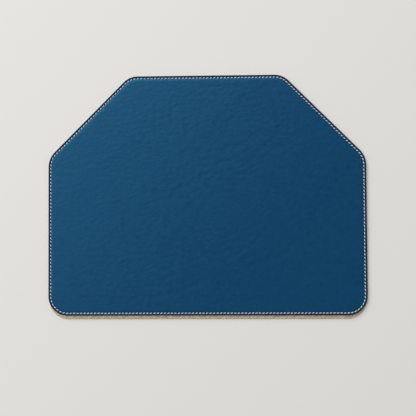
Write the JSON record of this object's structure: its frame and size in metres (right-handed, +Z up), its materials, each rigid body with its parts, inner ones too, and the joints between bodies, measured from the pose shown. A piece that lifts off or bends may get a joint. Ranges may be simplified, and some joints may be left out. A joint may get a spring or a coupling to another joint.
{
  "type": "desk mat",
  "caption": "Flat stitched leather desk mat with rounded corners, two clipped back corners and a bevelled tan front edge.",
  "frame": {"origin": "centre of the underside's bounding rectangle, on the desk top", "axes": "+Z up, +X to the user's right along the long front edge, -Y towards the user, so the clipped corners are at +Y"},
  "size_m": [0.4, 0.3066, 0.0047],
  "materials": {
    "blue_leather": "satin, fine pebble grain",
    "navy_edge_paint": "satin acrylic edge coat",
    "cream_thread": "waxed three-ply polyester",
    "clear_glue": "dried contact glue",
    "tan_fibre_board": "raw fibrous cut edge of bonded leather board",
    "tan_suede": "matte napped microsuede"
  },
  "bodies": {
    "root": {"leather_sheet": "blue_leather", "edge_paint": "navy_edge_paint", "needle_thread": "cream_thread", "upper_glue": "clear_glue", "fibre_board": "tan_fibre_board", "lower_glue": "clear_glue", "suede_backing": "tan_suede", "bobbin_thread": "cream_thread"}
  },
  "joints": []
}
